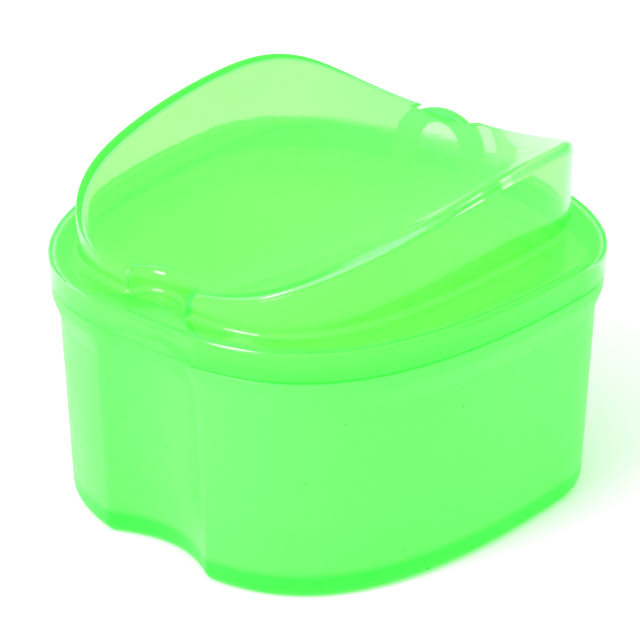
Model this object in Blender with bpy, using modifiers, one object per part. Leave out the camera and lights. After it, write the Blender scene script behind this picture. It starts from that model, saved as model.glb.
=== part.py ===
# Denture case: a soaking tub, a strainer basket with a tall handle that lifts out
# of it, and a press-on lid with a wave-shaped dome. All three are thin mouldings.
# Metres, +Z up, -Y to the thumb groove in front, origin under the middle at the table.

import math
from collections import namedtuple

import bmesh
import bpy
from mathutils import Matrix, Vector

MM = 0.001

# An outline is two curves a side: from the back to the widest place, and on to the front.
# The shares set how far each curve leans on its corner before it turns.
Plan = namedtuple("Plan", "half_width back front widest corner_shares notch_half notch_depth notch_power")

# Rim outline, which the lid's flange shows from above
RIM_HALF_WIDTH = 45.2 * MM
RIM_BACK = 45.7 * MM
RIM_FRONT = -45.7 * MM
RIM_WIDEST = 18.0 * MM
RIM_CORNER_SHARES = (0.54, 0.60, 0.97, 0.44)

# Thumb groove down the front of the tub
GROOVE_HALF_WIDTH = 11.2 * MM
GROOVE_DEPTH = 4.2 * MM
GROOVE_POWER = 1.0

# Fits
GAP = 0.3 * MM
OVERRUN = 2.0 * MM

# Height of the lid's flange above the table, which all the levels below hang from
LID_TOP = 48.5 * MM

# Tub; an inset is measured in from the rim outline
TUB_WALL = 1.5 * MM
TUB_FLOOR = 1.8 * MM
TUB_FOOT_INSET = 2.4 * MM
TUB_FOOT_RADIUS = 4.0 * MM
TUB_WALL_TOP_INSET = 1.57 * MM
FLARE_HEIGHT = 3.9 * MM
COLLAR_HEIGHT = 2.4 * MM
COLLAR_INSET = 0.3 * MM
TUB_RIM_WALL = 1.1 * MM
SEAT_DROP = 5.8 * MM
SEAT_WIDTH = 1.3 * MM

# Lid
LID_WALL = 1.2 * MM
SKIRT_HEIGHT = 5.6 * MM
LID_EDGE_RADIUS = 1.5 * MM
DOME_FOOT_RADIUS = 1.0 * MM
DOME_EDGE_RADIUS = 2.0 * MM

# Dome outline, set in from the rim outline
DOME_SIDE_INSET = 9.7 * MM
DOME_BACK_INSET = 6.5 * MM
DOME_FRONT_INSET = 4.9 * MM
DOME_WIDEST = 14.6 * MM
DOME_CORNER_SHARES = (0.86, 0.93, 0.97, 0.64)
DOME_NOTCH_HALF_WIDTH = 6.3 * MM
DOME_NOTCH_DEPTH = 4.3 * MM
DOME_NOTCH_POWER = 0.5

# Dome roof, heights above the flange: a wave down the middle between two raised sides
WAVE_LOW = 4.0 * MM
WAVE_CREST = 11.7 * MM
WAVE_CREST_Y = 17.8 * MM
WAVE_HALF_LENGTH = 54.9 * MM
SIDE_LOW = 15.9 * MM
SIDE_CREST = 17.7 * MM
SIDE_HALF_LENGTH = 38.7 * MM
TROUGH_POWER_FRONT = 2.2
TROUGH_POWER_BACK = 2.8
ROOF_RING_SHARES = (0.94, 0.82, 0.66, 0.48, 0.28, 0.12)

# Strainer basket, its mouth set in from the rim outline
BASKET_WALL = 1.3 * MM
BASKET_SIDE_INSET = 7.0 * MM
BASKET_FRONT_INSET = 7.1 * MM
BASKET_WIDEST = 14.0 * MM
HANDLE_BACK_INSET = 12.2 * MM
BASKET_LIP = 1.3 * MM
BASKET_FLANGE = 1.2 * MM
BASKET_FOOT_HEIGHT = 6.5 * MM
BASKET_FOOT_RADIUS = 4.0 * MM
BASKET_SIDE_DRAFT = 0.085
BACK_LEAN = 0.13

# Handle strap, which stands up from the basket's back wall
HANDLE_HALF_WIDTH = 10.35 * MM
HANDLE_BAND = 4.7 * MM
HANDLE_THICKNESS = 2.0 * MM
HANDLE_SPRING_HEIGHT = 2.05 * MM
HANDLE_LEG = 22.0 * MM

# Locating blocks on the basket's flange at the back
BLOCK_INNER_X = 15.0 * MM
BLOCK_LENGTH = 9.7 * MM
BLOCK_DEPTH = 3.0 * MM
BLOCK_EDGE = 1.2 * MM

# Doorway in the dome's back, which the handle stands in
DOOR_GAP = 0.9 * MM
DOOR_SILL = 0.4 * MM

# Drain slots in the basket's floor
SLOT_WIDTH = 2.4 * MM
FLOOR_SLOT_LENGTH = 15.0 * MM
FLOOR_SLOT_PITCH = 6.0 * MM
FLOOR_SLOT_BRIDGE = 4.0 * MM
FLOOR_MARGIN = 3.0 * MM

# Points along half an outline, and along a rounding
BACK_STEPS = 13
SIDE_STEPS = 15
NOTCH_STEPS = 6
ROUND_STEPS = 3
FLARE_STEPS = 4
ARC_STEPS = 14
SMOOTH_ANGLE = math.radians(35)

# A moved outline keeps the points that stay this share of the distance away from the old one
CLEAR_SHARE = 0.98

# Levels that follow from the fits
TUB_TOP = LID_TOP - LID_WALL - GAP
SKIRT_BOTTOM = LID_TOP - SKIRT_HEIGHT
COLLAR_TOP = SKIRT_BOTTOM - GAP
COLLAR_START = COLLAR_TOP - COLLAR_HEIGHT
TUB_WALL_TOP = COLLAR_START - FLARE_HEIGHT
SEAT_HEIGHT = TUB_TOP - SEAT_DROP
TUB_RIM_INSET = LID_WALL + GAP
TUB_RIM_INNER = TUB_RIM_INSET + TUB_RIM_WALL
BASKET_FLANGE_BOTTOM = SEAT_HEIGHT + GAP
BASKET_FLANGE_TOP = BASKET_FLANGE_BOTTOM + BASKET_FLANGE
BASKET_TOP = BASKET_FLANGE_TOP + BASKET_LIP
HANDLE_SPRING = LID_TOP + HANDLE_SPRING_HEIGHT

# Plan sizes that follow from the rim outline
DOME_HALF_WIDTH = RIM_HALF_WIDTH - DOME_SIDE_INSET
DOME_BACK = RIM_BACK - DOME_BACK_INSET
DOME_FRONT = RIM_FRONT + DOME_FRONT_INSET
BASKET_HALF_WIDTH = RIM_HALF_WIDTH - BASKET_SIDE_INSET
BASKET_FRONT = RIM_FRONT + BASKET_FRONT_INSET
HANDLE_PLANE_Y = RIM_BACK - HANDLE_BACK_INSET
BASKET_BACK = HANDLE_PLANE_Y + BASKET_WALL / 2

RIM = Plan(RIM_HALF_WIDTH, RIM_BACK, RIM_FRONT, RIM_WIDEST, RIM_CORNER_SHARES,
           DOME_NOTCH_HALF_WIDTH, 0, GROOVE_POWER)
TUB = RIM._replace(notch_half=GROOVE_HALF_WIDTH, notch_depth=GROOVE_DEPTH)
DOME = Plan(DOME_HALF_WIDTH, DOME_BACK, DOME_FRONT, DOME_WIDEST, DOME_CORNER_SHARES,
            DOME_NOTCH_HALF_WIDTH, DOME_NOTCH_DEPTH, DOME_NOTCH_POWER)
BASKET = Plan(BASKET_HALF_WIDTH, BASKET_BACK, BASKET_FRONT, BASKET_WIDEST, RIM_CORNER_SHARES,
              GROOVE_HALF_WIDTH, GROOVE_DEPTH, GROOVE_POWER)


def clear_scene():
    for thing in list(bpy.data.objects):
        bpy.data.objects.remove(thing, do_unlink=True)


def make_collection(name):
    collection = bpy.data.collections.new(name)
    bpy.context.scene.collection.children.link(collection)
    return collection


def make_material(name, color, roughness):
    material = bpy.data.materials.new(name)
    material.use_nodes = True
    shader = material.node_tree.nodes["Principled BSDF"]
    shader.inputs["Base Color"].default_value = (*color, 1)
    shader.inputs["Roughness"].default_value = roughness
    shader.inputs["Metallic"].default_value = 0
    return material


def bezier(p0, p1, p2, p3, t):
    u = 1 - t
    return (p0 * u ** 3) + (p1 * 3 * u * u * t) + (p2 * 3 * u * t * t) + (p3 * t ** 3)


def back_curve(plan):
    lean_back, lean_side = plan.corner_shares[:2]
    return (Vector((0, plan.back)),
            Vector((plan.half_width * lean_back, plan.back)),
            Vector((plan.half_width, plan.widest + (plan.back - plan.widest) * lean_side)),
            Vector((plan.half_width, plan.widest)))


def front_curve(plan):
    lean_side, lean_front = plan.corner_shares[2:]
    return (Vector((plan.half_width, plan.widest)),
            Vector((plan.half_width, plan.widest + (plan.front - plan.widest) * lean_side)),
            Vector((plan.half_width * lean_front, plan.front)),
            Vector((0, plan.front)))


def share_at(curve, x):
    # The front curve runs inwards all the way, so halving finds where it passes x
    low, high = 0.0, 1.0
    for _ in range(40):
        middle = (low + high) / 2
        if bezier(*curve, middle).x > x:
            low = middle
        else:
            high = middle
    return low


def half_outline(plan):
    points = [bezier(*back_curve(plan), i / BACK_STEPS) for i in range(BACK_STEPS)]
    curve = front_curve(plan)
    edge = share_at(curve, plan.notch_half)
    points += [bezier(*curve, edge * i / SIDE_STEPS) for i in range(SIDE_STEPS)]
    for i in range(NOTCH_STEPS + 1):
        across = math.cos(math.pi / 2 * i / NOTCH_STEPS)
        point = bezier(*curve, share_at(curve, plan.notch_half * across))
        dip = plan.notch_depth * (1 - across ** 2) ** plan.notch_power
        points.append(Vector((point.x, point.y + dip)))
    points[-1].x = 0
    return points


def outline(plan):
    half = half_outline(plan)
    return half + [Vector((-p.x, p.y)) for p in reversed(half[1:-1])]


def inset(points, distance):
    # Each corner moves in square to both of its sides
    moved = []
    for i, point in enumerate(points):
        before = (point - points[i - 1]).normalized()
        after = (points[(i + 1) % len(points)] - point).normalized()
        inward = Vector((before.y, -before.x))
        both = (inward + Vector((after.y, -after.x))).normalized()
        moved.append(point + both * (distance / both.dot(inward)))
    return moved


def clear_inset(points, distance):
    # Points that would fold over in a bend tighter than the distance come together
    moved = inset(points, distance)
    clear = [room(points, spot) > abs(distance) * CLEAR_SHARE for spot in moved]
    if not distance or all(clear):
        return moved
    return unfolded(moved, clear)


def room(points, spot):
    # Distance from a spot to the nearest side of the outline
    nearest = math.inf
    for a, b in zip(points, points[1:] + points[:1]):
        run = b - a
        share = max(0, min(1, (spot - a).dot(run) / run.length_squared))
        nearest = min(nearest, (spot - a - run * share).length)
    return nearest


def unfolded(points, clear):
    count = len(points)
    first = clear.index(True)
    order = [(first + i) % count for i in range(count + 1)]
    run = []
    for i in order:
        if not clear[i]:
            run.append(i)
        elif run:
            left, right = run[0] - 1, run[-1] + 1
            spot = meeting(points[left - 1], points[left],
                           points[(right + 1) % count], points[right % count])
            for folded in run:
                points[folded] = spot.copy()
            run = []
    return points


def meeting(a, b, c, d):
    # Where the line from a past b meets the line from c past d, unless that is far away
    one, two = b - a, d - c
    cross = one.cross(two)
    between = (b + d) / 2
    if not cross:
        return between
    spot = a + one * ((c - a).cross(two) / cross)
    return spot if (spot - between).length < (b - d).length else between


def level(points, z):
    return [Vector((p.x, p.y, z)) for p in points]


def rounding(start_inset, start_z, radius, inward, upward, steps):
    # Insets and heights of a quarter round, both ends left out
    places = []
    for i in range(1, steps):
        angle = math.pi / 2 * i / steps
        places.append((start_inset + inward * radius * (1 - math.cos(angle)),
                       start_z + upward * radius * math.sin(angle)))
    return places


def quarter_down(inset_at_wall, floor_z, radius, steps):
    # From a wall down to a flat floor, ends included
    places = []
    for i in range(steps + 1):
        angle = math.pi / 2 * i / steps
        places.append((inset_at_wall + radius * (1 - math.cos(angle)),
                       floor_z + radius * (1 - math.sin(angle))))
    return places


def loft(name, rings, material, collection, peak=None):
    mesh = bpy.data.meshes.new(name)
    bm = bmesh.new()
    rows = [[bm.verts.new(p) for p in ring] for ring in rings]
    count = len(rows[0])
    for low, high in zip(rows, rows[1:]):
        for i in range(count):
            j = (i + 1) % count
            bm.faces.new((low[i], high[i], high[j], low[j]))
    if peak is None:
        bm.faces.new(rows[0])
        bm.faces.new(list(reversed(rows[-1])))
    else:
        top = bm.verts.new(peak)
        for i in range(count):
            bm.faces.new((rows[-1][i], top, rows[-1][(i + 1) % count]))
    bmesh.ops.remove_doubles(bm, verts=bm.verts, dist=GAP / 100)
    bm.normal_update()
    bm.to_mesh(mesh)
    bm.free()
    return add_object(name, mesh, collection, material)


def add_object(name, mesh, collection, material=None):
    thing = bpy.data.objects.new(name, mesh)
    collection.objects.link(thing)
    if material:
        mesh.materials.append(material)
        mesh.shade_smooth()
        mesh.set_sharp_from_angle(angle=SMOOTH_ANGLE)
    return thing


def flat_solid(name, loops, thickness, place, collection):
    # Closed outlines with a thickness, drawn flat and then put in place as one mesh
    curve = bpy.data.curves.new(name, "CURVE")
    curve.dimensions = "2D"
    curve.fill_mode = "BOTH"
    curve.extrude = thickness / 2
    for loop in loops:
        spline = curve.splines.new("POLY")
        spline.points.add(len(loop) - 1)
        for target, (x, y) in zip(spline.points, loop):
            target.co = (x, y, 0, 1)
        spline.use_cyclic_u = True
    drawn = bpy.data.objects.new(name + "_drawn", curve)
    drawn.matrix_world = place
    collection.objects.link(drawn)
    bpy.context.view_layer.update()
    evaluated = drawn.evaluated_get(bpy.context.evaluated_depsgraph_get())
    mesh = bpy.data.meshes.new_from_object(evaluated)
    solid = bpy.data.objects.new(name, mesh)
    solid.matrix_world = drawn.matrix_world
    collection.objects.link(solid)
    bpy.data.objects.remove(drawn, do_unlink=True)
    close_mesh(mesh)
    return solid


def close_mesh(mesh):
    bm = bmesh.new()
    bm.from_mesh(mesh)
    bmesh.ops.remove_doubles(bm, verts=bm.verts, dist=GAP / 100)
    bmesh.ops.recalc_face_normals(bm, faces=bm.faces)
    bm.to_mesh(mesh)
    bm.free()


def combine(target, tool, operation):
    tool.hide_render = True
    tool.display_type = "WIRE"
    step = target.modifiers.new(tool.name, "BOOLEAN")
    step.operation = operation
    step.solver = "EXACT"
    step.object = tool


def arc(center_x, center_y, radius, start, end, steps):
    return [(center_x + radius * math.cos(start + (end - start) * i / steps),
             center_y + radius * math.sin(start + (end - start) * i / steps))
            for i in range(steps + 1)]


def upright(y, z, lean=0.0):
    # A drawing's x stays across, and its y goes up the wall
    return Matrix.Translation((0, y, z)) @ Matrix.Rotation(math.pi / 2 - math.atan(lean), 4, "X")


def tub_rings():
    rim = outline(TUB)
    foot = TUB_FOOT_INSET
    outer = list(reversed(quarter_down(foot, 0, TUB_FOOT_RADIUS, ROUND_STEPS + 1)))
    for i in range(FLARE_STEPS + 1):
        share = i / FLARE_STEPS
        swell = (1 - math.cos(math.pi * share)) / 2
        outer.append((TUB_WALL_TOP_INSET + (COLLAR_INSET - TUB_WALL_TOP_INSET) * swell,
                      TUB_WALL_TOP + (COLLAR_START - TUB_WALL_TOP) * share))
    top = [(COLLAR_INSET, COLLAR_TOP),
           (TUB_RIM_INSET, COLLAR_TOP),
           (TUB_RIM_INSET, TUB_TOP),
           (TUB_RIM_INNER, TUB_TOP)]
    seat = [(TUB_RIM_INNER, SEAT_HEIGHT),
            (TUB_RIM_INNER + SEAT_WIDTH, SEAT_HEIGHT),
            (TUB_RIM_INNER + SEAT_WIDTH, COLLAR_START),
            (TUB_WALL_TOP_INSET + TUB_WALL, TUB_WALL_TOP)]
    inner_radius = TUB_FOOT_RADIUS - TUB_WALL
    floor = quarter_down(foot + TUB_WALL, TUB_FLOOR, inner_radius, ROUND_STEPS)
    return [level(clear_inset(rim, d), z) for d, z in outer + top + seat + floor]


def roof_height(x, y):
    along = math.cos(math.pi * min(1, abs(y - WAVE_CREST_Y) / WAVE_HALF_LENGTH))
    middle = WAVE_LOW + (WAVE_CREST - WAVE_LOW) * (1 + along) / 2
    beside = math.cos(math.pi * min(1, abs(y - WAVE_CREST_Y) / SIDE_HALF_LENGTH))
    side = SIDE_LOW + (SIDE_CREST - SIDE_LOW) * (1 + beside) / 2
    back_share = (y - DOME_FRONT) / (DOME_BACK - DOME_FRONT)
    power = TROUGH_POWER_FRONT + (TROUGH_POWER_BACK - TROUGH_POWER_FRONT) * back_share
    return LID_TOP + middle + (side - middle) * abs(x / DOME_HALF_WIDTH) ** power


def lid_rings():
    rim = outline(RIM)
    dome = outline(DOME)
    rings = [level(rim, SKIRT_BOTTOM), level(rim, LID_TOP - LID_EDGE_RADIUS)]
    edge = rounding(0, LID_TOP - LID_EDGE_RADIUS, LID_EDGE_RADIUS, 1, 1, ROUND_STEPS)
    rings += [level(inset(rim, d), z) for d, z in edge]
    rings.append(level(inset(rim, LID_EDGE_RADIUS), LID_TOP))
    foot = quarter_down(0, 0, DOME_FOOT_RADIUS, ROUND_STEPS)
    rings += [level(inset(dome, -d), LID_TOP + z) for d, z in reversed(foot)]
    shoulder = quarter_down(0, 0, DOME_EDGE_RADIUS, ROUND_STEPS)
    for d, drop in shoulder:
        ring = inset(dome, d)
        rings.append([Vector((p.x, p.y, roof_height(p.x, p.y) - DOME_EDGE_RADIUS + rise(d))) for p in ring])
    last = inset(dome, DOME_EDGE_RADIUS)
    middle_y = (DOME_FRONT + DOME_BACK) / 2
    for share in ROOF_RING_SHARES:
        spots = [(p.x * share, middle_y + (p.y - middle_y) * share) for p in last]
        rings.append([Vector((x, y, roof_height(x, y))) for x, y in spots])
    return rings, Vector((0, middle_y, roof_height(0, middle_y)))


def rise(distance):
    # Height gained over the dome's rounded edge, this far in from its wall
    left = DOME_EDGE_RADIUS - distance
    return math.sqrt(max(0, DOME_EDGE_RADIUS ** 2 - left ** 2))


def basket_plan(z):
    drop = BASKET_TOP - z
    return BASKET._replace(half_width=BASKET_HALF_WIDTH - drop * BASKET_SIDE_DRAFT,
                           back=BASKET_BACK - drop * BACK_LEAN,
                           front=BASKET_FRONT + drop * BASKET_SIDE_DRAFT)


def basket_ring(distance, z):
    return level(clear_inset(outline(basket_plan(z)), distance), z)


def basket_rings():
    foot = BASKET_FOOT_HEIGHT
    rings = [basket_ring(d, z) for d, z in
             reversed(quarter_down(0, foot, BASKET_FOOT_RADIUS, ROUND_STEPS))]
    rings.append(basket_ring(0, BASKET_FLANGE_BOTTOM))
    edge = clear_inset(outline(TUB), TUB_RIM_INNER + GAP)
    rings += [level(edge, BASKET_FLANGE_BOTTOM), level(edge, BASKET_FLANGE_TOP)]
    rings += [basket_ring(0, BASKET_FLANGE_TOP), basket_ring(0, BASKET_TOP)]
    rings.append(basket_ring(BASKET_WALL, BASKET_TOP))
    floor = quarter_down(BASKET_WALL, foot + BASKET_WALL, BASKET_FOOT_RADIUS - BASKET_WALL, ROUND_STEPS)
    rings += [basket_ring(d, z) for d, z in floor]
    return rings


def handle_loop():
    spring = HANDLE_SPRING - BASKET_TOP
    foot = -HANDLE_LEG
    inner = HANDLE_HALF_WIDTH - HANDLE_BAND
    loop = [(HANDLE_HALF_WIDTH, foot)]
    loop += arc(0, spring, HANDLE_HALF_WIDTH, 0, math.pi, ARC_STEPS)
    loop += [(-HANDLE_HALF_WIDTH, foot), (-inner, foot)]
    loop += arc(0, spring, inner, math.pi, 0, ARC_STEPS)
    loop.append((inner, foot))
    return loop


def stadium(x, y, length, width, steps):
    # A slot with round ends, its length along the drawing's y
    reach = (length - width) / 2
    top = arc(x, y + reach, width / 2, 0, math.pi, steps)
    return top + arc(x, y - reach, width / 2, math.pi, math.pi * 2, steps)


def floor_slots():
    edge = inset(outline(basket_plan(BASKET_FOOT_HEIGHT)), BASKET_FOOT_RADIUS + FLOOR_MARGIN)
    left = min(p.x for p in edge)
    columns = math.floor(-left / FLOOR_SLOT_PITCH)
    step = FLOOR_SLOT_LENGTH + FLOOR_SLOT_BRIDGE
    middle = (BASKET_FRONT + HANDLE_PLANE_Y) / 2
    loops = []
    for column in range(-columns, columns + 1):
        x = column * FLOOR_SLOT_PITCH
        for row in (-1, 0, 1):
            y = middle + row * step
            ends = [Vector((x, y + end * FLOOR_SLOT_LENGTH / 2)) for end in (-1, 1)]
            if all(inside(edge, end) for end in ends):
                loops.append(stadium(x, y, FLOOR_SLOT_LENGTH, SLOT_WIDTH, ROUND_STEPS))
    return loops


def inside(loop, point):
    # The loop runs clockwise, so a point in it is on the right of a side it faces
    crossings = 0
    for a, b in zip(loop, loop[1:] + loop[:1]):
        if (a.y > point.y) != (b.y > point.y):
            if point.x < a.x + (b.x - a.x) * (point.y - a.y) / (b.y - a.y):
                crossings += 1
    return crossings % 2 == 1


def locating_blocks(collection):
    height = BASKET_TOP - BASKET_FLANGE_BOTTOM - BASKET_FLANGE / 2
    far_x = BLOCK_INNER_X + BLOCK_LENGTH
    edge = inset(outline(TUB), TUB_RIM_INNER + GAP + BLOCK_EDGE)
    back = max(p.y for p in edge if p.x >= far_x)
    loops = []
    for side in (-1, 1):
        near, far = side * BLOCK_INNER_X, side * far_x
        loops.append([(near, back), (far, back), (far, back - BLOCK_DEPTH), (near, back - BLOCK_DEPTH)])
    place = Matrix.Translation((0, 0, BASKET_TOP - height / 2))
    return flat_solid("locating_blocks", loops, height, place, collection)


def make_tub(parts):
    plastic = make_material("tub_plastic", (0.04, 0.86, 0.13), 0.35)
    return loft("base_container", tub_rings(), plastic, parts)


def make_lid(parts, cutters):
    plastic = make_material("lid_plastic", (0.08, 0.9, 0.18), 0.2)
    rings, peak = lid_rings()
    lid = loft("lid", rings, plastic, parts, peak)
    shell = lid.modifiers.new("wall", "SOLIDIFY")
    shell.thickness = LID_WALL
    shell.offset = -1
    shell.use_even_offset = True
    half = HANDLE_HALF_WIDTH + DOOR_GAP
    sill = LID_TOP + DOOR_SILL
    loop = [(half, sill)] + arc(0, HANDLE_SPRING, half, 0, math.pi, ARC_STEPS) + [(-half, sill)]
    roof_z = roof_height(0, HANDLE_PLANE_Y)
    strap_y = HANDLE_PLANE_Y + (roof_z - BASKET_TOP) * BACK_LEAN
    front = strap_y - HANDLE_THICKNESS / 2 - DOOR_GAP
    depth = DOME_BACK + OVERRUN - front
    door = flat_solid("doorway", [loop], depth, upright(front + depth / 2, 0), cutters)
    combine(lid, door, "DIFFERENCE")
    return lid


def make_basket(parts, cutters):
    plastic = make_material("basket_plastic", (0.1, 0.92, 0.22), 0.3)
    basket = loft("strainer_basket", basket_rings(), plastic, parts)
    strap = flat_solid("handle_strap", [handle_loop()], HANDLE_THICKNESS,
                       upright(HANDLE_PLANE_Y, BASKET_TOP, BACK_LEAN), cutters)
    combine(basket, strap, "UNION")
    combine(basket, locating_blocks(cutters), "UNION")
    floor_z = BASKET_FOOT_HEIGHT + BASKET_WALL / 2
    slots = flat_solid("floor_slots", floor_slots(), BASKET_WALL + OVERRUN,
                       Matrix.Translation((0, 0, floor_z)), cutters)
    combine(basket, slots, "DIFFERENCE")
    return basket


clear_scene()
parts = make_collection("denture_case")
cutters = make_collection("cutters")
make_tub(parts)
make_basket(parts, cutters)
make_lid(parts, cutters)
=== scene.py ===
import math

import bmesh
import bpy
import numpy
from mathutils import Matrix, Vector


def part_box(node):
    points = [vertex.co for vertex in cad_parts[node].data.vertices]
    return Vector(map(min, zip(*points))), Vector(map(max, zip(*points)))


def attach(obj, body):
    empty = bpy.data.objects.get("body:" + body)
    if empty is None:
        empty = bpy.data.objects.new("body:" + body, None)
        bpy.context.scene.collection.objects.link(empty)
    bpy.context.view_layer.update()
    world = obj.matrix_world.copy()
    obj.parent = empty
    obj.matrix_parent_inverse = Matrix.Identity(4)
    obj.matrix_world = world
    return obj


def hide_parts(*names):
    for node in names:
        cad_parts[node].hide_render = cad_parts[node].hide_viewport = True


# Denture case in neon green polypropylene: tub, lift-out strainer basket and wave-roofed lid

mm = 0.001
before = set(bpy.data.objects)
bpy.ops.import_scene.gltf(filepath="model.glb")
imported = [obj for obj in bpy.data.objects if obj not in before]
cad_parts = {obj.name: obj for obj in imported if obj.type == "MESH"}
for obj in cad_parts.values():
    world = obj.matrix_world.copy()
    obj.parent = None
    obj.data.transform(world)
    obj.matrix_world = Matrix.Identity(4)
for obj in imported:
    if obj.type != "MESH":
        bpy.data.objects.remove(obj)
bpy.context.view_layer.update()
lidLow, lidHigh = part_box("lid")
tubLow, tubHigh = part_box("base_container")
print("frame loaded:", sorted(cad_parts))

studioCollection = bpy.data.collections.new("studio")
caseCollection = bpy.data.collections.new("denture_case")
toolCollection = bpy.data.collections.new("cutters")
for made in (studioCollection, caseCollection, toolCollection):
    bpy.context.scene.collection.children.link(made)


# Shader and node helpers

def hexToLinear(code, alpha=1.0):
    channels = [int(code[i:i + 2], 16) / 255 for i in (1, 3, 5)]
    linear = [c / 12.92 if c <= 0.04045 else ((c + 0.055) / 1.055) ** 2.4 for c in channels]
    return (*linear, alpha)


def addNode(tree, kind, settings=None, links=None):
    # settings: socket name or number, or a property of the node; links: socket -> output it reads
    node = tree.nodes.new(kind)
    for key, value in (settings or {}).items():
        if isinstance(key, str) and key not in node.inputs:
            setattr(node, key, value)
        else:
            node.inputs[key].default_value = value
    for key, source in (links or {}).items():
        tree.links.new(source, node.inputs[key])
    return node


def giveInputs(step, tree, values):
    # The modifier gets its tree, and each named input its value by the socket's identifier
    step.node_group = tree
    for item in tree.interface.items_tree:
        if item.in_out == "INPUT" and item.name in values:
            step[item.identifier] = values[item.name]


# Outline of the rim, the dome and the basket: two curves a side, with an optional hollow in front

outlineSteps = {
    "back": 30, "side": 36, "notch": 14, "round": 6,  # points kept on each stretch
    "sideSamples": 240, "hollowSamples": 120, "halvings": 40,  # how finely the curves are read before that
}

rimPlan = {
    "halfWidth": lidHigh.x, "back": lidHigh.y, "front": lidLow.y, "widest": 18.0 * mm,
    "leans": (0.54, 0.60, 0.97, 0.44), "notchHalf": 6.3 * mm, "notchDepth": 0, "notchPower": 1,
    "soft": 1.0 * mm,
}
tubPlan = dict(rimPlan, notchHalf=11.2 * mm, notchDepth=4.2 * mm, soft=1.6 * mm)
domePlan = {
    "halfWidth": rimPlan["halfWidth"] - 9.7 * mm, "back": rimPlan["back"] - 6.5 * mm,
    "front": rimPlan["front"] + 4.9 * mm, "widest": 14.6 * mm,
    "leans": (0.80, 0.85, 0.97, 0.64), "notchHalf": 6.3 * mm, "notchDepth": 4.3 * mm, "notchPower": 0.5,
    "soft": 1.1 * mm,
}


def bezier(p0, p1, p2, p3, t):
    u = 1 - t
    return p0 * u ** 3 + p1 * 3 * u * u * t + p2 * 3 * u * t * t + p3 * t ** 3


def planCurves(plan):
    # The right half as two curves, one from the back to the widest place and one from there to the front
    w, back, front, widest = (plan[k] for k in ("halfWidth", "back", "front", "widest"))
    backLean, sideLean, frontSideLean, frontLean = plan["leans"]
    rear = (Vector((0, back)), Vector((w * backLean, back)),
            Vector((w, widest + (back - widest) * sideLean)), Vector((w, widest)))
    fore = (Vector((w, widest)), Vector((w, widest + (front - widest) * frontSideLean)),
            Vector((w * frontLean, front)), Vector((0, front)))
    return rear, fore


def shareAtX(curve, x):
    # How far along the front curve, as a share, its x has come down to this one
    low, high = 0.0, 1.0
    for _ in range(outlineSteps["halvings"]):
        middle = (low + high) / 2
        if bezier(*curve, middle).x > x:
            low = middle
        else:
            high = middle
    return low


def spread(path, count):
    # The same path with evenly spaced points, both ends kept
    lengths = [0.0]
    for a, b in zip(path, path[1:]):
        lengths.append(lengths[-1] + (b - a).length)
    made, at = [], 0
    for i in range(count):
        wanted = lengths[-1] * i / (count - 1)
        while at < len(path) - 2 and lengths[at + 1] < wanted:
            at += 1
        step = lengths[at + 1] - lengths[at]
        made.append(path[at].lerp(path[at + 1], (wanted - lengths[at]) / step if step else 0))
    return made


def trimmed(path, length):
    # The path without its first piece of this length
    for i, (a, b) in enumerate(zip(path, path[1:])):
        step = (b - a).length
        if step > length:
            return [a.lerp(b, length / step)] + path[i + 1:]
        length -= step
    return path[-2:]


def outline(plan):
    # The whole plan, clockwise from the middle of the back, with the hollow's two corners rounded
    rear, fore = planCurves(plan)
    steps = outlineSteps
    half = [bezier(*rear, i / steps["back"]) for i in range(steps["back"])]
    edge = shareAtX(fore, plan["notchHalf"])
    side = [bezier(*fore, edge * i / steps["sideSamples"]) for i in range(steps["sideSamples"] + 1)]
    hollow = []
    for i in range(steps["hollowSamples"] + 1):
        across = math.cos(math.pi / 2 * i / steps["hollowSamples"])
        point = bezier(*fore, shareAtX(fore, plan["notchHalf"] * across))
        dip = plan["notchDepth"] * (1 - across ** 2) ** plan["notchPower"]
        hollow.append(Vector((point.x, point.y + dip)))
    corner, soft = side[-1], plan["soft"]
    side = list(reversed(trimmed(list(reversed(side)), soft)))
    hollow = trimmed(hollow, soft)
    half += spread(side, steps["side"])
    for i in range(1, steps["round"]):
        t = i / steps["round"]
        half.append(side[-1] * (1 - t) ** 2 + corner * 2 * t * (1 - t) + hollow[0] * t * t)
    half += spread(hollow, steps["notch"])
    half[-1].x = 0
    return half + [Vector((-p.x, p.y)) for p in reversed(half[1:-1])]


insetRules = {
    "mitre": 0.5,          # a corner reaches out to twice the distance at most
    "clearShare": 0.985,   # a point nearer to the outline than this share of the distance is folded
    "meetReach": 4,        # folded points meet no further off than this many gaps
    "slack": 1e-7, "meetSlack": 1e-6,      # in metres
    "noLength": 1e-18, "parallel": 1e-14,  # in square metres
}


def inset(points, distance):
    # Parallel outline; where a corner is tighter than the distance its points meet in one
    if not distance:
        return [p.copy() for p in points]
    count = len(points)
    moved = []
    for i, point in enumerate(points):
        before = (point - points[i - 1]).normalized()
        after = (points[(i + 1) % count] - point).normalized()
        inward = Vector((before.y, -before.x))
        both = (inward + Vector((after.y, -after.x))).normalized()
        moved.append(point + both * (distance / max(insetRules["mitre"], both.dot(inward))))
    solid = numpy.array(points)
    run = numpy.roll(solid, -1, 0) - solid
    size = (run ** 2).sum(1) + insetRules["noLength"]
    good = []
    for point in moved:
        away = numpy.array(point) - solid
        share = numpy.clip((away * run).sum(1) / size, 0, 1)[:, None]
        nearest = numpy.sqrt(((away - run * share) ** 2).sum(1).min())
        good.append(nearest > abs(distance) * insetRules["clearShare"] - insetRules["slack"])
    if all(good):
        return moved
    first = good.index(True)
    i = first
    while i < first + count:
        if good[i % count]:
            i += 1
            continue
        start = i
        while not good[i % count]:
            i += 1
        a, b = moved[(start - 2) % count], moved[(start - 1) % count]
        c, d = moved[(i + 1) % count], moved[i % count]
        meet = crossing(a, b, c, d)
        for k in range(start, i):
            moved[k % count] = meet.copy()
    return moved


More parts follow.
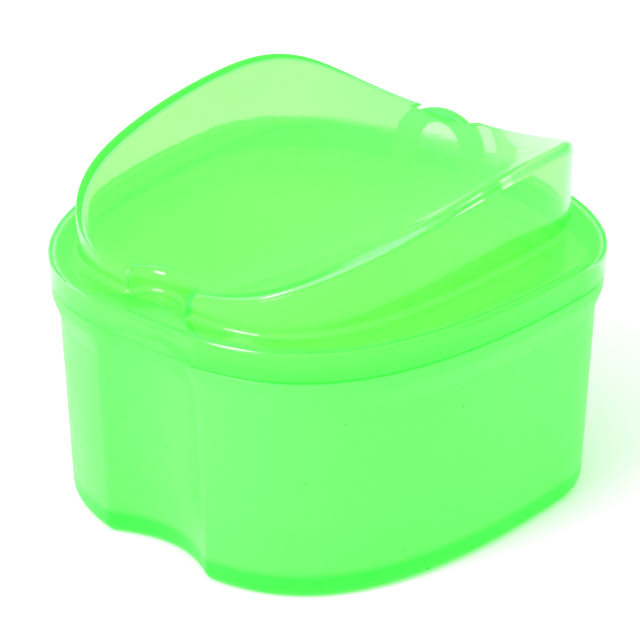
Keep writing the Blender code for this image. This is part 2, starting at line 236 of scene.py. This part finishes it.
def crossing(a, b, c, d):
    # Where the lines a-b and c-d meet, or the middle of b and d where that is far off
    one, two = b - a, d - c
    cross = one.x * two.y - one.y * two.x
    if abs(cross) < insetRules["parallel"]:
        return (b + d) / 2
    t = ((c - a).x * two.y - (c - a).y * two.x) / cross
    meet = a + one * t
    limit = insetRules["meetReach"] * (b - d).length + insetRules["meetSlack"]
    return meet if (meet - b).length < limit else (b + d) / 2


def level(points, z):
    # A plan's points at one height
    return [Vector((p.x, p.y, z)) for p in points]


arcShare = 0.49  # an arc takes at most this share of the straight on either side


def softProfile(corners):
    # corners are (inset, height, radius); each one with a radius becomes an arc
    path = []
    for i, (d, z, radius) in enumerate(corners):
        here = Vector((d, z))
        if not radius or i in (0, len(corners) - 1):
            path.append(here)
            continue
        toBack = Vector(corners[i - 1][:2]) - here
        toNext = Vector(corners[i + 1][:2]) - here
        turn = toBack.angle(toNext)
        reach = min(radius / math.tan(turn / 2), toBack.length * arcShare, toNext.length * arcShare)
        start, end = here + toBack.normalized() * reach, here + toNext.normalized() * reach
        for k in range(outlineSteps["round"] + 1):
            t = k / outlineSteps["round"]
            weight = math.sin(turn / 2)
            a, b, c = (1 - t) ** 2, 2 * t * (1 - t) * weight, t * t
            path.append((start * a + here * b + end * c) / (a + b + c))
    return path


def loft(name, rings, peaks=(None, None)):
    # peaks close the first and last ring: a point makes a fan, None a flat face
    mesh = bpy.data.meshes.new(name)
    bm = bmesh.new()
    rows = [[bm.verts.new(p) for p in ring] for ring in rings]
    count = len(rows[0])
    for low, high in zip(rows, rows[1:]):
        for i in range(count):
            j = (i + 1) % count
            bm.faces.new((low[i], high[i], high[j], low[j]))
    for row, peak, flip in ((rows[0], peaks[0], False), (rows[-1], peaks[1], True)):
        if peak is None:
            bm.faces.new(list(reversed(row)) if flip else row)
            continue
        tip = bm.verts.new(peak)
        for i in range(count):
            j = (i + 1) % count
            bm.faces.new((row[i], tip, row[j]) if flip else (row[j], tip, row[i]))
    bm.normal_update()
    bm.to_mesh(mesh)
    bm.free()
    made = bpy.data.objects.new(name, mesh)
    caseCollection.objects.link(made)
    return made


meshRules = {"merge": 0.004 * mm, "sharp": math.radians(32), "edgeSegments": 3, "arcSteps": 28}


def frozen(source, name=None):
    # The evaluated object as a plain mesh; the modifiers stay behind
    bpy.context.view_layer.update()
    graph = bpy.context.evaluated_depsgraph_get()
    mesh = bpy.data.meshes.new_from_object(source.evaluated_get(graph), depsgraph=graph)
    mesh.transform(source.matrix_world)
    wanted = name or source.name
    bpy.data.objects.remove(source, do_unlink=True)
    made = bpy.data.objects.new(wanted, mesh)
    caseCollection.objects.link(made)
    return made


def cleaned(target):
    # Doubles merged and normals outwards
    bm = bmesh.new()
    bm.from_mesh(target.data)
    bmesh.ops.remove_doubles(bm, verts=bm.verts, dist=meshRules["merge"])
    bmesh.ops.dissolve_degenerate(bm, edges=bm.edges, dist=meshRules["merge"])
    bmesh.ops.recalc_face_normals(bm, faces=bm.faces)
    bm.to_mesh(target.data)
    bm.free()
    return target


def finished(target, material, body, node):
    target.data.materials.clear()
    target.data.materials.append(material)
    target.data.shade_smooth()
    target.data.set_sharp_from_angle(angle=meshRules["sharp"])
    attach(target, body)
    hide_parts(node)
    print("made", target.name, len(target.data.polygons), "faces")
    return target


def drawnSolid(name, loops, thickness, place, roundEdge=0.0):
    # Flat outlines with a thickness, as one mesh already in place
    curve = bpy.data.curves.new(name, "CURVE")
    curve.dimensions = "2D"
    curve.fill_mode = "BOTH"
    curve.extrude = thickness / 2 - roundEdge
    curve.bevel_depth = roundEdge
    curve.bevel_resolution = meshRules["edgeSegments"]
    curve.offset = -roundEdge
    for loop in loops:
        spline = curve.splines.new("POLY")
        spline.points.add(len(loop) - 1)
        for target, (x, y) in zip(spline.points, loop):
            target.co = (x, y, 0, 1)
        spline.use_cyclic_u = True
    drawn = bpy.data.objects.new(name, curve)
    drawn.matrix_world = place
    toolCollection.objects.link(drawn)
    return cleaned(frozen(drawn, name))


def cut(target, tool, operation="DIFFERENCE"):
    step = target.modifiers.new("cut", "BOOLEAN")
    step.operation = operation
    step.solver = "EXACT"
    step.object = tool
    made = frozen(target)
    bpy.data.objects.remove(tool, do_unlink=True)
    return made


def arc(centerX, centerY, radius, start, end, height=None):
    # A round arc, or an oval one where a height is given
    tall = height or radius
    steps = meshRules["arcSteps"]
    return [(centerX + radius * math.cos(start + (end - start) * i / steps),
             centerY + tall * math.sin(start + (end - start) * i / steps))
            for i in range(steps + 1)]


def upright(y, z, lean=0.0):
    # Stands a flat drawing up to face the front, its top leaning back by this slope
    return Matrix.Translation((0, y, z)) @ Matrix.Rotation(math.pi / 2 - math.atan(lean), 4, "X")


# Materials

# The neon dye turns daylight into green of its own; each moulding's glow is partly that and partly painted
# light, an emission that brightens the plastic, the basket most
# Between the From and To heights the colour goes over to its deep one, a painted shade
polypropylene = {
    "tub": {
        "base": "#98FF92", "deep": "#08FF48", "paintedShadeFrom": 5.6 * mm, "paintedShadeTo": 3.8 * mm, "paintedShadeShare": 0.8,
        "absorb": "#2BFEC9", "density": 520, "roughness": 0.34, "haze": 0.30,
        "fluorescenceAndPaintedGlow": 0.16, "fluorescenceAndPaintedGlowColor": "#08FF20",
    },
    "basket": {
        "base": "#D2FFB2", "deep": "#48FF74", "paintedShadeFrom": 34 * mm, "paintedShadeTo": 50 * mm, "paintedShadeShare": 1.0,
        "absorb": "#2BFEC9", "density": 220, "roughness": 0.12, "haze": 0.26,
        "fluorescenceAndPaintedGlow": 0.50, "fluorescenceAndPaintedGlowColor": "#70FF50",
    },
    "lid": {
        "base": "#EAFFC8", "deep": "#78FF8C", "paintedShadeFrom": 47 * mm, "paintedShadeTo": 41 * mm, "paintedShadeShare": 0.7,
        "absorb": "#2BFEC9", "density": 270, "roughness": 0.05, "haze": 0.04,
        "fluorescenceAndPaintedGlow": 0.16, "fluorescenceAndPaintedGlowColor": "#08FF20",
    },
}
# Scales count features to the metre: flow marks about 6 mm long, mould steel grain about 0.4 mm
mouldSurface = {
    "flow": {"scale": 160, "detail": 3, "roughness": 0.55, "strength": 0.10, "depth": 0.3 * mm},
    "grain": {"scale": 2400, "detail": 2, "strength": 0.05, "depth": 0.05 * mm},
    "flowSpan": (0.3, 0.7), "glossSpan": (0.8, 1.25),
}
plasticBody = {"ior": 1.49, "scatterRadius": (0.6, 1.0, 0.6), "scatterReach": 4 * mm}


def makeMouldedPolypropylene(name, look):
    # Injection-moulded PP with a neon green dye: clear where thin, deep green where light runs along the wall
    material = bpy.data.materials.new(name)
    material.use_nodes = True
    tree = material.node_tree
    tree.nodes.clear()
    place = addNode(tree, "ShaderNodeTexCoord")
    marks, steel = mouldSurface["flow"], mouldSurface["grain"]
    # Flow marks, which also make the gloss a little uneven
    flow = addNode(tree, "ShaderNodeTexNoise",
                   {"Scale": marks["scale"], "Detail": marks["detail"], "Roughness": marks["roughness"]},
                   {"Vector": place.outputs["Object"]})
    broad = addNode(tree, "ShaderNodeBump", {"Strength": marks["strength"], "Distance": marks["depth"]},
                    {"Height": flow.outputs[0]})
    low, high = (look["roughness"] * share for share in mouldSurface["glossSpan"])
    gloss = addNode(tree, "ShaderNodeMapRange",
                    {"From Min": mouldSurface["flowSpan"][0], "From Max": mouldSurface["flowSpan"][1],
                     "To Min": low, "To Max": high},
                    {"Value": flow.outputs[0]})
    # Satin grain of the mould steel
    grain = addNode(tree, "ShaderNodeTexNoise", {"Scale": steel["scale"], "Detail": steel["detail"]},
                    {"Vector": place.outputs["Object"]})
    fine = addNode(tree, "ShaderNodeBump", {"Strength": steel["strength"], "Distance": steel["depth"]},
                   {"Height": grain.outputs[0], "Normal": broad.outputs[0]})
    # Painted shade: the colour goes over to a deeper green by height, towards the foot, the handle and the
    # skirt, standing in for shade and for light's long way through the plastic there
    spot = addNode(tree, "ShaderNodeSeparateXYZ", None, {"Vector": place.outputs["Object"]})
    height = addNode(tree, "ShaderNodeMapRange",
                     {"interpolation_type": "SMOOTHSTEP", "From Min": look["paintedShadeFrom"],
                      "From Max": look["paintedShadeTo"], "To Min": 0, "To Max": look["paintedShadeShare"]},
                     {"Value": spot.outputs["Z"]})
    # This mix lays the painted shade over the base colour
    dyeWithPaintedShade = addNode(tree, "ShaderNodeMix",
                  {"data_type": "RGBA", 6: hexToLinear(look["base"]), 7: hexToLinear(look["deep"])},
                  {0: height.outputs[0]})
    shader = addNode(tree, "ShaderNodeBsdfPrincipled", {
        "IOR": plasticBody["ior"], "Transmission Weight": 1 - look["haze"],
        "Subsurface Weight": 1.0, "Subsurface Radius": plasticBody["scatterRadius"],
        "Subsurface Scale": plasticBody["scatterReach"],
        # Emission: painted glow, partly the dye's own fluorescence
        "Emission Color": hexToLinear(look["fluorescenceAndPaintedGlowColor"]), "Emission Strength": look["fluorescenceAndPaintedGlow"],
    }, {"Base Color": dyeWithPaintedShade.outputs[2], "Roughness": gloss.outputs[0], "Normal": fine.outputs[0]})
    absorb = addNode(tree, "ShaderNodeVolumeAbsorption",
                     {"Color": hexToLinear(look["absorb"]), "Density": look["density"]})
    addNode(tree, "ShaderNodeOutputMaterial", None,
            {"Surface": shader.outputs[0], "Volume": absorb.outputs[0]})
    return material


tubPlastic = makeMouldedPolypropylene("satin_moulded_polypropylene", polypropylene["tub"])
basketPlastic = makeMouldedPolypropylene("basket_moulded_polypropylene", polypropylene["basket"])
lidPlastic = makeMouldedPolypropylene("polished_moulded_polypropylene", polypropylene["lid"])
print("materials made")


# Tub

lidTop = lidLow.z + 5.6 * mm
gap = 0.3 * mm
tubSizes = {
    "wall": 1.5 * mm, "floor": 2.8 * mm, "floorRadius": 0.7 * mm,
    "footInset": 2.4 * mm, "footRadius": 4.0 * mm,
    "wallTopInset": 1.57 * mm, "flareHeight": 3.9 * mm, "collarHeight": 2.4 * mm,
    "collarInset": 0.3 * mm, "rimInset": 1.5 * mm, "rimWall": 1.1 * mm,
    "seatDrop": 5.8 * mm, "seatWidth": 1.3 * mm, "edge": 0.35 * mm,
}


def makeTub():
    s = tubSizes
    top = tubHigh.z
    collarTop = lidLow.z - gap
    collarStart = collarTop - s["collarHeight"]
    wallTop = collarStart - s["flareHeight"]
    seat = top - s["seatDrop"]
    inner = s["rimInset"] + s["rimWall"]
    rim = outline(tubPlan)
    corners = [
        (s["footInset"] + s["footRadius"] + s["edge"], 0, 0),
        (s["footInset"], 0, s["footRadius"]),
        (s["wallTopInset"], wallTop, s["footRadius"]),
        (s["collarInset"], collarStart, s["footRadius"] / 2),
        (s["collarInset"], collarTop, s["edge"]),
        (s["rimInset"], collarTop, s["edge"]),
        (s["rimInset"], top, s["edge"]),
        (inner, top, s["edge"]),
        (inner, seat, s["edge"]),
        (inner + s["seatWidth"], seat, s["edge"]),
        (inner + s["seatWidth"], collarStart, s["footRadius"] / 2),
        (s["wallTopInset"] + s["wall"], wallTop, s["footRadius"]),
        (s["footInset"] + s["wall"], s["floor"], s["floorRadius"]),
        (s["footInset"] + s["footRadius"] + s["edge"], s["floor"], 0),
    ]
    rings = [level(inset(rim, p.x), p.y) for p in softProfile(corners)]
    tub = cleaned(loft("tub_shell", rings))
    return finished(tub, tubPlastic, "tub", "base_container")


makeTub()


# Strainer basket

basketSizes = {
    "wall": 1.3 * mm, "sideInset": 7.0 * mm, "frontInset": 7.1 * mm, "widest": 14.0 * mm,
    "handleInset": 12.2 * mm, "lip": 1.3 * mm, "flange": 1.2 * mm, "flangeStart": 1.2 * mm,
    "footHeight": 6.5 * mm,
    "footRadius": 4.0 * mm, "sideDraft": 0.085, "backLean": 0.13, "edge": 0.3 * mm,
}
handleSizes = {
    "halfWidth": 10.35 * mm, "band": 4.7 * mm, "thickness": 2.0 * mm,
    "spring": 2.05 * mm, "crown": 9.1 * mm, "leg": 22.0 * mm, "edge": 0.45 * mm,
}
blockSizes = {"innerX": 15.0 * mm, "length": 9.7 * mm, "depth": 3.0 * mm, "edgeGap": 1.2 * mm}
slotSizes = {
    "width": 2.4 * mm, "length": 15.0 * mm, "pitch": 6.0 * mm, "bridge": 4.0 * mm,
    "margin": 3.0 * mm, "overrun": 2.0 * mm,
}
flangeBottom = tubHigh.z - tubSizes["seatDrop"] + gap
flangeTop = flangeBottom + basketSizes["flange"]
basketTop = flangeTop + basketSizes["lip"]
handlePlaneY = rimPlan["back"] - basketSizes["handleInset"]
handleSpring = lidTop + handleSizes["spring"]


def basketPlan(z):
    s = basketSizes
    drop = basketTop - z
    return dict(tubPlan, halfWidth=rimPlan["halfWidth"] - s["sideInset"] - drop * s["sideDraft"],
                back=handlePlaneY + s["wall"] / 2 - drop * s["backLean"],
                front=rimPlan["front"] + s["frontInset"] + drop * s["sideDraft"], widest=s["widest"])


def makeBasket():
    s, h = basketSizes, handleSizes
    foot = s["footHeight"]
    turned = s["footRadius"] + s["edge"]
    outer = softProfile([(turned, foot, 0), (0, foot, s["footRadius"]), (0, flangeBottom, 0)])
    lip = softProfile([(0, flangeTop, 0), (0, basketTop, s["edge"]), (s["wall"], basketTop, s["edge"]),
                       (s["wall"], foot + s["wall"], s["footRadius"] - s["wall"]),
                       (turned, foot + s["wall"], 0)])
    rings = [level(inset(outline(basketPlan(p.y)), p.x), p.y) for p in outer]
    edgeInset = tubSizes["rimInset"] + tubSizes["rimWall"] + gap
    rim = outline(tubPlan)
    start = edgeInset + s["flangeStart"]
    edge = softProfile([(start, flangeBottom, 0), (edgeInset, flangeBottom, s["edge"]),
                        (edgeInset, flangeTop, s["edge"]), (start, flangeTop, 0)])
    rings += [level(inset(rim, p.x), p.y) for p in edge]
    rings += [level(inset(outline(basketPlan(p.y)), p.x), p.y) for p in lip]
    basket = cleaned(loft("basket_shell", rings))

    inner = h["halfWidth"] - h["band"]
    spring = handleSpring - basketTop
    loop = [(h["halfWidth"], -h["leg"])] + arc(0, spring, h["halfWidth"], 0, math.pi, h["crown"])
    loop += [(-h["halfWidth"], -h["leg"]), (-inner, -h["leg"])]
    loop += arc(0, spring, inner, math.pi, 0) + [(inner, -h["leg"])]
    place = upright(handlePlaneY, basketTop, s["backLean"])
    strap = drawnSolid("strap", [loop], h["thickness"], place, h["edge"])
    basket = cut(basket, strap, "UNION")

    b = blockSizes
    height = basketTop - flangeBottom - s["flange"] / 2
    far = b["innerX"] + b["length"]
    back = max(p.y for p in inset(rim, edgeInset + b["edgeGap"]) if p.x >= far)
    loops = [[(side * b["innerX"], back), (side * far, back), (side * far, back - b["depth"]),
              (side * b["innerX"], back - b["depth"])] for side in (-1, 1)]
    blocks = drawnSolid("blocks", loops, height, Matrix.Translation((0, 0, basketTop - height / 2)))
    basket = cut(basket, blocks, "UNION")
    basket = cut(basket, slotTool())
    return finished(cleaned(basket), basketPlastic, "basket", "strainer_basket")


def slotTree():
    # One round-ended slot, lying along Y, on every point of the mesh that comes in
    tree = bpy.data.node_groups.new("drainSlots", "GeometryNodeTree")
    tree.interface.new_socket("Points", in_out="INPUT", socket_type="NodeSocketGeometry")
    for name in ("Length", "Width", "Depth"):
        tree.interface.new_socket(name, in_out="INPUT", socket_type="NodeSocketFloat")
    tree.interface.new_socket("Cutter", in_out="OUTPUT", socket_type="NodeSocketGeometry")
    given = addNode(tree, "NodeGroupInput").outputs
    straight = addNode(tree, "ShaderNodeMath", {"operation": "SUBTRACT"},
                       {0: given["Length"], 1: given["Width"]})
    reach = addNode(tree, "ShaderNodeMath", {"operation": "MULTIPLY", 1: 0.5}, {0: straight.outputs[0]})
    radius = addNode(tree, "ShaderNodeMath", {"operation": "MULTIPLY", 1: 0.5}, {0: given["Width"]})
    drop = addNode(tree, "ShaderNodeMath", {"operation": "MULTIPLY", 1: -0.5}, {0: given["Depth"]})
    # A circle whose two halves are pulled apart along Y, then raised to the cutter's depth
    ring = addNode(tree, "GeometryNodeMeshCircle", {"fill_type": "NGON", "Vertices": meshRules["arcSteps"]},
                   {"Radius": radius.outputs[0]})
    spot = addNode(tree, "GeometryNodeInputPosition")
    apart = addNode(tree, "ShaderNodeSeparateXYZ", None, {0: spot.outputs[0]})
    side = addNode(tree, "ShaderNodeMath", {"operation": "SIGN"}, {0: apart.outputs["Y"]})
    pull = addNode(tree, "ShaderNodeMath", {"operation": "MULTIPLY"},
                   {0: side.outputs[0], 1: reach.outputs[0]})
    shift = addNode(tree, "ShaderNodeCombineXYZ", None, {"Y": pull.outputs[0], "Z": drop.outputs[0]})
    flat = addNode(tree, "GeometryNodeSetPosition", None,
                   {"Geometry": ring.outputs[0], "Offset": shift.outputs[0]})
    upward = addNode(tree, "ShaderNodeCombineXYZ", None, {"Z": given["Depth"]})
    solid = addNode(tree, "GeometryNodeExtrudeMesh", {"mode": "FACES", "Individual": False},
                    {"Mesh": flat.outputs[0], "Offset": upward.outputs[0]})
    bottom = addNode(tree, "GeometryNodeFlipFaces", None, {"Mesh": flat.outputs[0]})
    closed = addNode(tree, "GeometryNodeJoinGeometry")
    for part in (bottom, solid):
        tree.links.new(part.outputs[0], closed.inputs[0])
    merged = addNode(tree, "GeometryNodeMergeByDistance", {"Distance": meshRules["merge"]},
                     {"Geometry": closed.outputs[0]})
    placed = addNode(tree, "GeometryNodeInstanceOnPoints", None,
                     {"Points": given["Points"], "Instance": merged.outputs[0]})
    real = addNode(tree, "GeometryNodeRealizeInstances", None, {0: placed.outputs[0]})
    dressed = addNode(tree, "GeometryNodeSetMaterial", {"Material": basketPlastic}, {0: real.outputs[0]})
    addNode(tree, "NodeGroupOutput", None, {"Cutter": dressed.outputs[0]})
    return tree


def slotTool():
    # A slot stands wherever the whole of it fits in the basket's flat floor
    s, b = slotSizes, basketSizes
    edge = inset(outline(basketPlan(b["footHeight"])), b["footRadius"] + s["margin"])
    columns = math.floor(-min(p.x for p in edge) / s["pitch"])
    middle = (rimPlan["front"] + b["frontInset"] + handlePlaneY) / 2
    spots = []
    for column in range(-columns, columns + 1):
        for row in (-1, 0, 1):
            x, y = column * s["pitch"], middle + row * (s["length"] + s["bridge"])
            if all(inside(edge, Vector((x, y + end * s["length"] / 2))) for end in (-1, 1)):
                spots.append((x, y, b["footHeight"] + b["wall"] / 2))
    mesh = bpy.data.meshes.new("slot_points")
    mesh.from_pydata(spots, [], [])
    tool = bpy.data.objects.new("slot_points", mesh)
    toolCollection.objects.link(tool)
    step = tool.modifiers.new("slots", "NODES")
    sizes = {"Length": s["length"], "Width": s["width"], "Depth": b["wall"] + s["overrun"]}
    giveInputs(step, slotTree(), sizes)
    return cleaned(frozen(tool, "slot_cutter"))


def inside(loop, point):
    # A ray from a point inside crosses the loop an odd number of times
    crossings = 0
    for a, b in zip(loop, loop[1:] + loop[:1]):
        if (a.y > point.y) != (b.y > point.y):
            if point.x < a.x + (b.x - a.x) * (point.y - a.y) / (b.y - a.y):
                crossings += 1
    return crossings % 2 == 1


makeBasket()


# Lid

lidSizes = {
    "wall": 1.2 * mm, "topStart": 3.0 * mm, "edgeRadius": 1.5 * mm, "innerEdgeRadius": 0.375 * mm,
    "lipEdge": 0.45 * mm, "domeFoot": 1.0 * mm, "domeEdge": 2.0 * mm, "domeEdgeInside": 1.1 * mm,
    "doorGap": 0.9 * mm, "roofGap": 0.3 * mm, "sill": 0.4 * mm, "doorOverrun": 2.0 * mm,
    "crown": (2.0 * mm, 3.0 * mm),  # half the width and depth of the roof patch over the handle
}
waveSizes = {"low": 4.0 * mm, "crest": 11.7 * mm, "crestY": 17.8 * mm, "halfLength": 54.9 * mm,
             "sideLow": 15.9 * mm, "sideCrest": 17.7 * mm, "sideHalfLength": 38.7 * mm,
             "powerFront": 2.2, "powerBack": 2.8}
roofShares = (0.985, 0.96, 0.92, 0.87, 0.81, 0.74, 0.66, 0.57, 0.47, 0.36, 0.24, 0.12)


def waveTree():
    # Height over the flange: a long wave down the middle, lifted towards both sides of the dome
    tree = bpy.data.node_groups.new("waveRoof", "GeometryNodeTree")
    tree.interface.new_socket("Flat Dome", in_out="INPUT", socket_type="NodeSocketGeometry")
    for name in waveInputs():
        tree.interface.new_socket(name, in_out="INPUT", socket_type="NodeSocketFloat")
    tree.interface.new_socket("Waved Dome", in_out="OUTPUT", socket_type="NodeSocketGeometry")
    given = addNode(tree, "NodeGroupInput").outputs
    spot = addNode(tree, "GeometryNodeInputPosition")
    apart = addNode(tree, "ShaderNodeSeparateXYZ", None, {0: spot.outputs[0]})
    fromCrest = addNode(tree, "ShaderNodeMath", {"operation": "SUBTRACT"},
                        {0: apart.outputs["Y"], 1: given["Crest Y"]})
    away = addNode(tree, "ShaderNodeMath", {"operation": "ABSOLUTE"}, {0: fromCrest.outputs[0]})
    waves = []
    for names in (("Low", "Crest", "Half Length"), ("Side Low", "Side Crest", "Side Half Length")):
        low, crest, half = names
        turn = addNode(tree, "ShaderNodeMapRange", {"From Min": 0, "To Min": 0, "To Max": math.pi},
                       {"Value": away.outputs[0], "From Max": given[half]})
        swing = addNode(tree, "ShaderNodeMath", {"operation": "COSINE"}, {0: turn.outputs[0]})
        waves.append(addNode(tree, "ShaderNodeMapRange", {"From Min": -1, "From Max": 1},
                             {"Value": swing.outputs[0], "To Min": given[low], "To Max": given[crest]}))
    across = addNode(tree, "ShaderNodeMath", {"operation": "DIVIDE"},
                     {0: apart.outputs["X"], 1: given["Half Width"]})
    sideShare = addNode(tree, "ShaderNodeMath", {"operation": "ABSOLUTE"}, {0: across.outputs[0]})
    power = addNode(tree, "ShaderNodeMapRange", {"clamp": False}, {
        "Value": apart.outputs["Y"], "From Min": given["Front"], "From Max": given["Back"],
        "To Min": given["Power Front"], "To Max": given["Power Back"]})
    bend = addNode(tree, "ShaderNodeMath", {"operation": "POWER"},
                   {0: sideShare.outputs[0], 1: power.outputs[0]})
    height = addNode(tree, "ShaderNodeMix", {"data_type": "FLOAT"},
                     {0: bend.outputs[0], 2: waves[0].outputs[0], 3: waves[1].outputs[0]})
    # lift is 1 on the roof and 0 on the flange, the skirt and the dome's foot
    lift = addNode(tree, "GeometryNodeInputNamedAttribute", {"data_type": "FLOAT", "Name": "lift"})
    raised = addNode(tree, "ShaderNodeMath", {"operation": "MULTIPLY"},
                     {0: height.outputs[0], 1: lift.outputs[0]})
    upward = addNode(tree, "ShaderNodeCombineXYZ", None, {"Z": raised.outputs[0]})
    waved = addNode(tree, "GeometryNodeSetPosition", None,
                    {"Geometry": given["Flat Dome"], "Offset": upward.outputs[0]})
    real = addNode(tree, "GeometryNodeRealizeInstances", None, {0: waved.outputs[0]})
    dressed = addNode(tree, "GeometryNodeSetMaterial", {"Material": lidPlastic}, {0: real.outputs[0]})
    addNode(tree, "NodeGroupOutput", None, {"Waved Dome": dressed.outputs[0]})
    return tree


def waveInputs():
    w = waveSizes
    return {
        "Low": w["low"], "Crest": w["crest"], "Crest Y": w["crestY"], "Half Length": w["halfLength"],
        "Side Low": w["sideLow"], "Side Crest": w["sideCrest"], "Side Half Length": w["sideHalfLength"],
        "Power Front": w["powerFront"], "Power Back": w["powerBack"], "Half Width": domePlan["halfWidth"],
        "Front": domePlan["front"], "Back": domePlan["back"],
    }


def domeSkin(thickness):
    # Rings of one face of the flat dome from its foot to the middle, and each one's lift by the wave
    s = lidSizes
    dome = outline(domePlan)
    top = lidTop - thickness
    foot = s["domeFoot"] + thickness
    edge = s["domeEdgeInside"] if thickness else s["domeEdge"]
    rings, lifts = [], []
    for rise in (0, 1):
        for k in range(outlineSteps["round"] + 1):
            angle = math.pi / 2 * k / outlineSteps["round"]
            if rise:
                away, z = thickness + edge * (1 - math.cos(angle)), top - edge * (1 - math.sin(angle))
            else:
                away, z = thickness - foot * (1 - math.sin(angle)), top + foot * (1 - math.cos(angle))
            rings.append(level(inset(dome, away), z))
            lifts.append(rise)
    middleY = (domePlan["front"] + domePlan["back"]) / 2
    edgeRing = rings[-1]
    for share in roofShares:
        rings.append([Vector((p.x * share, middleY + (p.y - middleY) * share, top)) for p in edgeRing])
        lifts.append(1)
    return rings, lifts, Vector((0, middleY, top))


def makeLid():
    s, h = lidSizes, handleSizes
    rim = outline(rimPlan)
    skirt = softProfile([
        (s["topStart"], lidTop, 0),
        (0, lidTop, s["edgeRadius"]),
        (0, lidLow.z, s["lipEdge"]),
        (s["wall"], lidLow.z, s["lipEdge"]),
        (s["wall"], lidTop - s["wall"], s["innerEdgeRadius"]),
        (s["topStart"], lidTop - s["wall"], 0),
    ])
    outer, outerLifts, peak = domeSkin(0)
    inner, innerLifts, under = domeSkin(s["wall"])
    rings = list(reversed(inner)) + [level(inset(rim, p.x), p.y) for p in reversed(skirt)] + outer
    lid = loft("lid_shell", rings, (under, peak))
    lifts = list(reversed(innerLifts)) + [0] * len(skirt) + outerLifts
    values = [lift for lift in lifts for _ in rim] + [1, 1]
    lid.data.attributes.new("lift", "FLOAT", "POINT").data.foreach_set("value", values)
    giveInputs(lid.modifiers.new("wave", "NODES"), waveTree(), waveInputs())
    lid = cleaned(frozen(lid))
    lid.data.attributes.remove(lid.data.attributes["lift"])
    half = h["halfWidth"] + s["doorGap"]
    sill = lidTop + s["sill"]
    arch = arc(0, handleSpring, half, 0, math.pi, h["crown"] + s["roofGap"])
    loop = [(half, sill)] + arch + [(-half, sill)]
    # The doorway starts just before the handle's plane where that goes through the roof
    wide, deep = s["crown"]
    near = [v.co.z for v in lid.data.vertices if abs(v.co.x) < wide and abs(v.co.y - handlePlaneY) < deep]
    strapY = handlePlaneY + (max(near) - basketTop) * basketSizes["backLean"]
    front = strapY - h["thickness"] / 2 - s["roofGap"]
    depth = domePlan["back"] + s["doorOverrun"] - front
    door = drawnSolid("doorway", [loop], depth, upright(front + depth / 2, 0))
    lid = cut(lid, door)
    return finished(lid, lidPlastic, "lid", "lid")


makeLid()


# Studio

studio = {
    "floor": {"colour": "#F6F7F5", "roughness": 0.9, "size": 30, "drop": 0.05 * mm},
    # A light tent: its brightness is this much all round, plus what each direction adds towards it
    "tent": 1.16, "brighter": (0.16, -0.62, 0.54),
    "key": {"place": (-0.12, -0.70, 0.75), "size": 0.40, "power": 6.0, "aim": (0, 0, 30 * mm)},
}
cameraView = {
    "azimuth": 40.99, "elevation": 27.48, "distance": 433.4 * mm, "lens": 133.1, "sensor": 36,
    "target": (-4.1 * mm, 5.2 * mm, 26.2 * mm),
}


def makeStudio():
    ground = studio["floor"]
    bpy.ops.mesh.primitive_plane_add(size=ground["size"], location=(0, 0, tubLow.z - ground["drop"]))
    floor = bpy.context.object
    floor.name = "studio_floor"
    material = bpy.data.materials.new("pale_studio_paper")
    material.use_nodes = True
    shader = material.node_tree.nodes["Principled BSDF"]
    shader.inputs["Base Color"].default_value = hexToLinear(ground["colour"])
    shader.inputs["Roughness"].default_value = ground["roughness"]
    floor.data.materials.append(material)
    world = bpy.data.worlds.new("light_tent")
    world.use_nodes = True
    tree = world.node_tree
    tree.nodes.clear()
    sky = addNode(tree, "ShaderNodeTexCoord")
    lean = addNode(tree, "ShaderNodeVectorMath", {"operation": "DOT_PRODUCT", 1: studio["brighter"]},
                   {0: sky.outputs["Generated"]})
    bright = addNode(tree, "ShaderNodeMath", {"operation": "ADD", 1: studio["tent"]},
                     {0: lean.outputs["Value"]})
    tent = addNode(tree, "ShaderNodeBackground", None, {"Strength": bright.outputs[0]})
    addNode(tree, "ShaderNodeOutputWorld", None, {"Surface": tent.outputs[0]})
    bpy.context.scene.world = world
    look = studio["key"]
    lamp = bpy.data.lights.new("key_softbox", "AREA")
    lamp.shape = "DISK"
    lamp.size = look["size"]
    lamp.energy = look["power"]
    made = bpy.data.objects.new("key_softbox", lamp)
    made.location = look["place"]
    made.rotation_euler = (Vector(look["aim"]) - made.location).to_track_quat("-Z", "Y").to_euler()
    studioCollection.objects.link(made)
    view = cameraView
    around, above = math.radians(view["azimuth"]), math.radians(view["elevation"])
    away = Vector((math.sin(around) * math.cos(above), -math.cos(around) * math.cos(above), math.sin(above)))
    lens = bpy.data.cameras.new("photo_camera")
    lens.lens = view["lens"]
    lens.sensor_width = view["sensor"]
    camera = bpy.data.objects.new("photo_camera", lens)
    camera.location = Vector(view["target"]) + away * view["distance"]
    camera.rotation_euler = (math.pi / 2 - above, 0, around)
    studioCollection.objects.link(camera)
    bpy.context.scene.camera = camera
    bpy.context.scene.view_settings.view_transform = "Standard"


makeStudio()
print("studio made")
